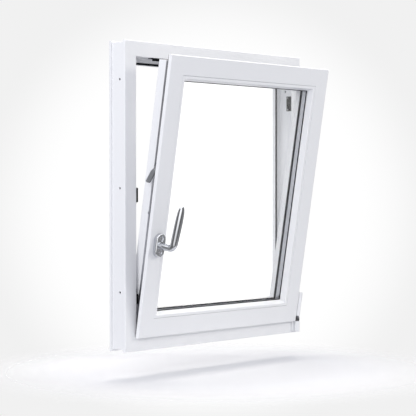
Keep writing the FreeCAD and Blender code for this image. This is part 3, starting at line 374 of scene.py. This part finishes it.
# ---------------------------------------------------------------- camera, light and floor
VIEW_TURN, VIEW_LIFT, VIEW_ROLL = 47.242, -0.908, 0.035      # degrees
CAMERA_PLACE = (-3.3507, -3.0577, 0.5040)
LENS = 121.31
FLOOR_GAP, FLOOR_RADIUS, FADE_START = 0.09, 0.85, 0.45
# name, place, target, size, power, colour, and whether polished metal shows it
LAMPS = [
    ("side_light", (-3.1, -1.0, 1.5), (0, 0, 0.6), (2.0, 1.6), 54.0, (1.0, 1.0, 1.0), False),
    ("key_light", (2.3, -3.0, 1.8), (0, 0, 0.5), (0.9, 0.9), 44.0, (1.0, 0.985, 0.9), False),
    ("top_light", (0.05, 0.1, 2.4), (0, 0, 0), (1.2, 0.8), 30.0, (1.0, 0.965, 0.91), True),
]
FILL_COLOUR = (0.9, 0.915, 1.0, 1)
FILL_STRENGTH = 0.64
BACKDROP_ANGLES, BACKDROP_LEVELS = (5.5, 9.5), (1.01, 0.88)
THROUGH_GLASS = 1.2
FLAG_TURN = 4      # degrees between the viewer and the brightest flag
# grey levels that polished metal shows: all round from behind the window, then by height overhead
FLAGS = [(0.0, 0.8), (0.06, 0.2), (0.25, 0.22), (0.42, 0.4), (0.52, 0.3), (0.64, 0.17),
         (0.86, 0.14), (0.92, 0.8), (0.96, 1.7)]
CEILING = [(0.42, 0.0), (0.55, 1.9)]


def add_camera():
    """A long lens level with the middle of the window, towards its handle side."""
    data = bpy.data.cameras.new("camera")
    data.lens = LENS
    data.sensor_width = 36.0
    data.clip_end = 50.0
    camera = bpy.data.objects.new("camera", data)
    camera.location = CAMERA_PLACE
    turn, lift, roll = (math.radians(value) for value in (VIEW_TURN, VIEW_LIFT, VIEW_ROLL))
    camera.rotation_euler = (math.pi / 2 + lift, roll, -turn)
    bpy.context.scene.collection.objects.link(camera)
    bpy.context.scene.camera = camera


def add_softbox(name, place, target, size, power, colour, mirrored):
    """An area lamp at place that faces target."""
    data = bpy.data.lights.new(name, "AREA")
    data.shape = "RECTANGLE"
    data.size, data.size_y = size
    data.energy = power
    data.color = colour
    lamp = bpy.data.objects.new(name, data)
    lamp.location = place
    aim = np.array(target, float) - np.array(place, float)
    spin = math.atan2(aim[1], aim[0])
    fall = math.atan2(math.hypot(aim[0], aim[1]), -aim[2])
    lamp.rotation_euler = (fall, 0, spin - math.pi / 2)
    lamp.visible_glossy = mirrored
    bpy.context.scene.collection.objects.link(lamp)


def ramp(tree, factor, stops):
    """A Color Ramp over a factor; each stop is a place and a grey level."""
    node = tree.nodes.new("ShaderNodeValToRGB")
    elements = node.color_ramp.elements
    while len(elements) < len(stops):
        elements.new(0.5)
    for element, (place, level) in zip(elements, stops):
        element.position = place
        element.color = (level, level, level, 1)
    tree.links.new(factor, node.inputs["Fac"])
    return node.outputs["Color"]


def facing(tree, direction):
    """Cosine of the angle between the looked-at direction and a fixed one."""
    place = tree.nodes.new("ShaderNodeTexCoord")
    product = tree.nodes.new("ShaderNodeVectorMath")
    product.operation = "DOT_PRODUCT"
    product.inputs[1].default_value = direction
    tree.links.new(place.outputs["Generated"], product.inputs[0])
    return product.outputs["Value"]


def add_world():
    """A pale studio: soft fill, a white backdrop that dims a little away from its middle, and
    grey flags at both sides that only polished metal shows."""
    world = bpy.data.worlds.new("studio")
    world.use_nodes = True
    tree = world.node_tree
    tree.nodes.clear()
    output = tree.nodes.new("ShaderNodeOutputWorld")
    path = tree.nodes.new("ShaderNodeLightPath")

    fill = tree.nodes.new("ShaderNodeBackground")
    fill.inputs["Color"].default_value = FILL_COLOUR
    fill.inputs["Strength"].default_value = FILL_STRENGTH

    turn, lift = math.radians(VIEW_TURN), math.radians(VIEW_LIFT)
    ahead = (math.sin(turn) * math.cos(lift), math.cos(turn) * math.cos(lift), math.sin(lift))
    spread = tree.nodes.new("ShaderNodeMapRange")
    spread.interpolation_type = "SMOOTHSTEP"
    spread.inputs["From Min"].default_value = math.cos(math.radians(BACKDROP_ANGLES[0]))
    spread.inputs["From Max"].default_value = math.cos(math.radians(BACKDROP_ANGLES[1]))
    spread.inputs["To Min"].default_value = BACKDROP_LEVELS[0]
    spread.inputs["To Max"].default_value = BACKDROP_LEVELS[1]
    tree.links.new(facing(tree, ahead), spread.inputs["Value"])
    backdrop = tree.nodes.new("ShaderNodeBackground")
    backdrop.inputs["Color"].default_value = (1, 1, 1, 1)
    tree.links.new(spread.outputs["Result"], backdrop.inputs["Strength"])

    side = math.radians(VIEW_TURN + 180 - FLAG_TURN)
    toward = (math.sin(side), math.cos(side), 0.0)
    share = math_node(tree, "MULTIPLY", math_node(tree, "ADD", facing(tree, toward), 1.0), 0.5)
    overhead = ramp(tree, facing(tree, (0.0, 0.0, 1.0)), CEILING)
    flags = tree.nodes.new("ShaderNodeBackground")
    flags.inputs["Color"].default_value = (1, 1, 1, 1)
    tree.links.new(math_node(tree, "MAXIMUM", ramp(tree, share, FLAGS), overhead),
                   flags.inputs["Strength"])

    through = tree.nodes.new("ShaderNodeBackground")
    through.inputs["Color"].default_value = (1, 1, 1, 1)
    through.inputs["Strength"].default_value = THROUGH_GLASS

    # only rays that met no matt surface on their way see the flags and the bright glass
    direct = math_node(tree, "LESS_THAN", path.outputs["Diffuse Depth"], 0.5)
    shader = fill.outputs["Background"]
    for flag, other in (("Is Camera Ray", backdrop), ("Is Glossy Ray", flags),
                        ("Is Transmission Ray", through)):
        mix = tree.nodes.new("ShaderNodeMixShader")
        tree.links.new(math_node(tree, "MULTIPLY", path.outputs[flag], direct), mix.inputs["Fac"])
        tree.links.new(shader, mix.inputs[1])
        tree.links.new(other.outputs["Background"], mix.inputs[2])
        shader = mix.outputs["Shader"]
    tree.links.new(shader, output.inputs["Surface"])
    bpy.context.scene.world = world


def add_floor():
    """A round white floor under the window: rings about a middle point, level with each other.

    It fades out towards its rim and keeps the soft shadow.
    """
    rings, spokes = 12, 64
    far, angle = np.meshgrid(np.linspace(0, FLOOR_RADIUS, rings + 1)[1:],
                             np.linspace(0, 2 * np.pi, spokes, endpoint=False), indexing="ij")
    level = np.full(far.size + 1, cad_box[0][2] - FLOOR_GAP)
    points = np.stack([np.append((far * np.cos(angle)).ravel(), 0),
                       np.append((far * np.sin(angle)).ravel(), 0), level], axis=1)
    here, beside, quads = ring_quads(rings, spokes)
    fan = np.stack([np.full(spokes, far.size), here[0], beside[0]], axis=1)
    faces = quads[:, ::-1].tolist() + fan.tolist()
    mesh = bpy.data.meshes.new("floor")
    mesh.from_pydata(points.tolist(), [], faces)
    floor = bpy.data.objects.new("floor", mesh)
    bpy.context.scene.collection.objects.link(floor)
    material = bpy.data.materials.new("floor_white")
    material.use_nodes = True
    tree = material.node_tree
    tree.nodes.clear()
    output = tree.nodes.new("ShaderNodeOutputMaterial")
    matt = tree.nodes.new("ShaderNodeBsdfDiffuse")
    matt.inputs["Color"].default_value = (0.76, 0.76, 0.77, 1)
    glow = tree.nodes.new("ShaderNodeEmission")
    glow.inputs["Color"].default_value = (0.9, 0.93, 1.0, 1)
    glow.inputs["Strength"].default_value = 0.06
    both = tree.nodes.new("ShaderNodeAddShader")
    tree.links.new(matt.outputs[0], both.inputs[0])
    tree.links.new(glow.outputs[0], both.inputs[1])
    clear = tree.nodes.new("ShaderNodeBsdfTransparent")
    place = tree.nodes.new("ShaderNodeTexCoord")
    flat = tree.nodes.new("ShaderNodeVectorMath")
    flat.operation = "MULTIPLY"
    flat.inputs[1].default_value = (1, 1, 0)
    tree.links.new(place.outputs["Object"], flat.inputs[0])
    reach = tree.nodes.new("ShaderNodeVectorMath")
    reach.operation = "LENGTH"
    tree.links.new(flat.outputs["Vector"], reach.inputs[0])
    fade = tree.nodes.new("ShaderNodeMapRange")
    fade.interpolation_type = "SMOOTHSTEP"
    fade.inputs["From Min"].default_value = FADE_START * FLOOR_RADIUS
    fade.inputs["From Max"].default_value = FLOOR_RADIUS
    tree.links.new(reach.outputs["Value"], fade.inputs["Value"])
    mix = tree.nodes.new("ShaderNodeMixShader")
    tree.links.new(fade.outputs["Result"], mix.inputs["Fac"])
    tree.links.new(both.outputs[0], mix.inputs[1])
    tree.links.new(clear.outputs[0], mix.inputs[2])
    tree.links.new(mix.outputs["Shader"], output.inputs["Surface"])
    mesh.materials.append(material)


add_camera()
for lamp in LAMPS:
    add_softbox(*lamp)
add_world()
add_floor()
bpy.context.scene.view_settings.view_transform = "Standard"
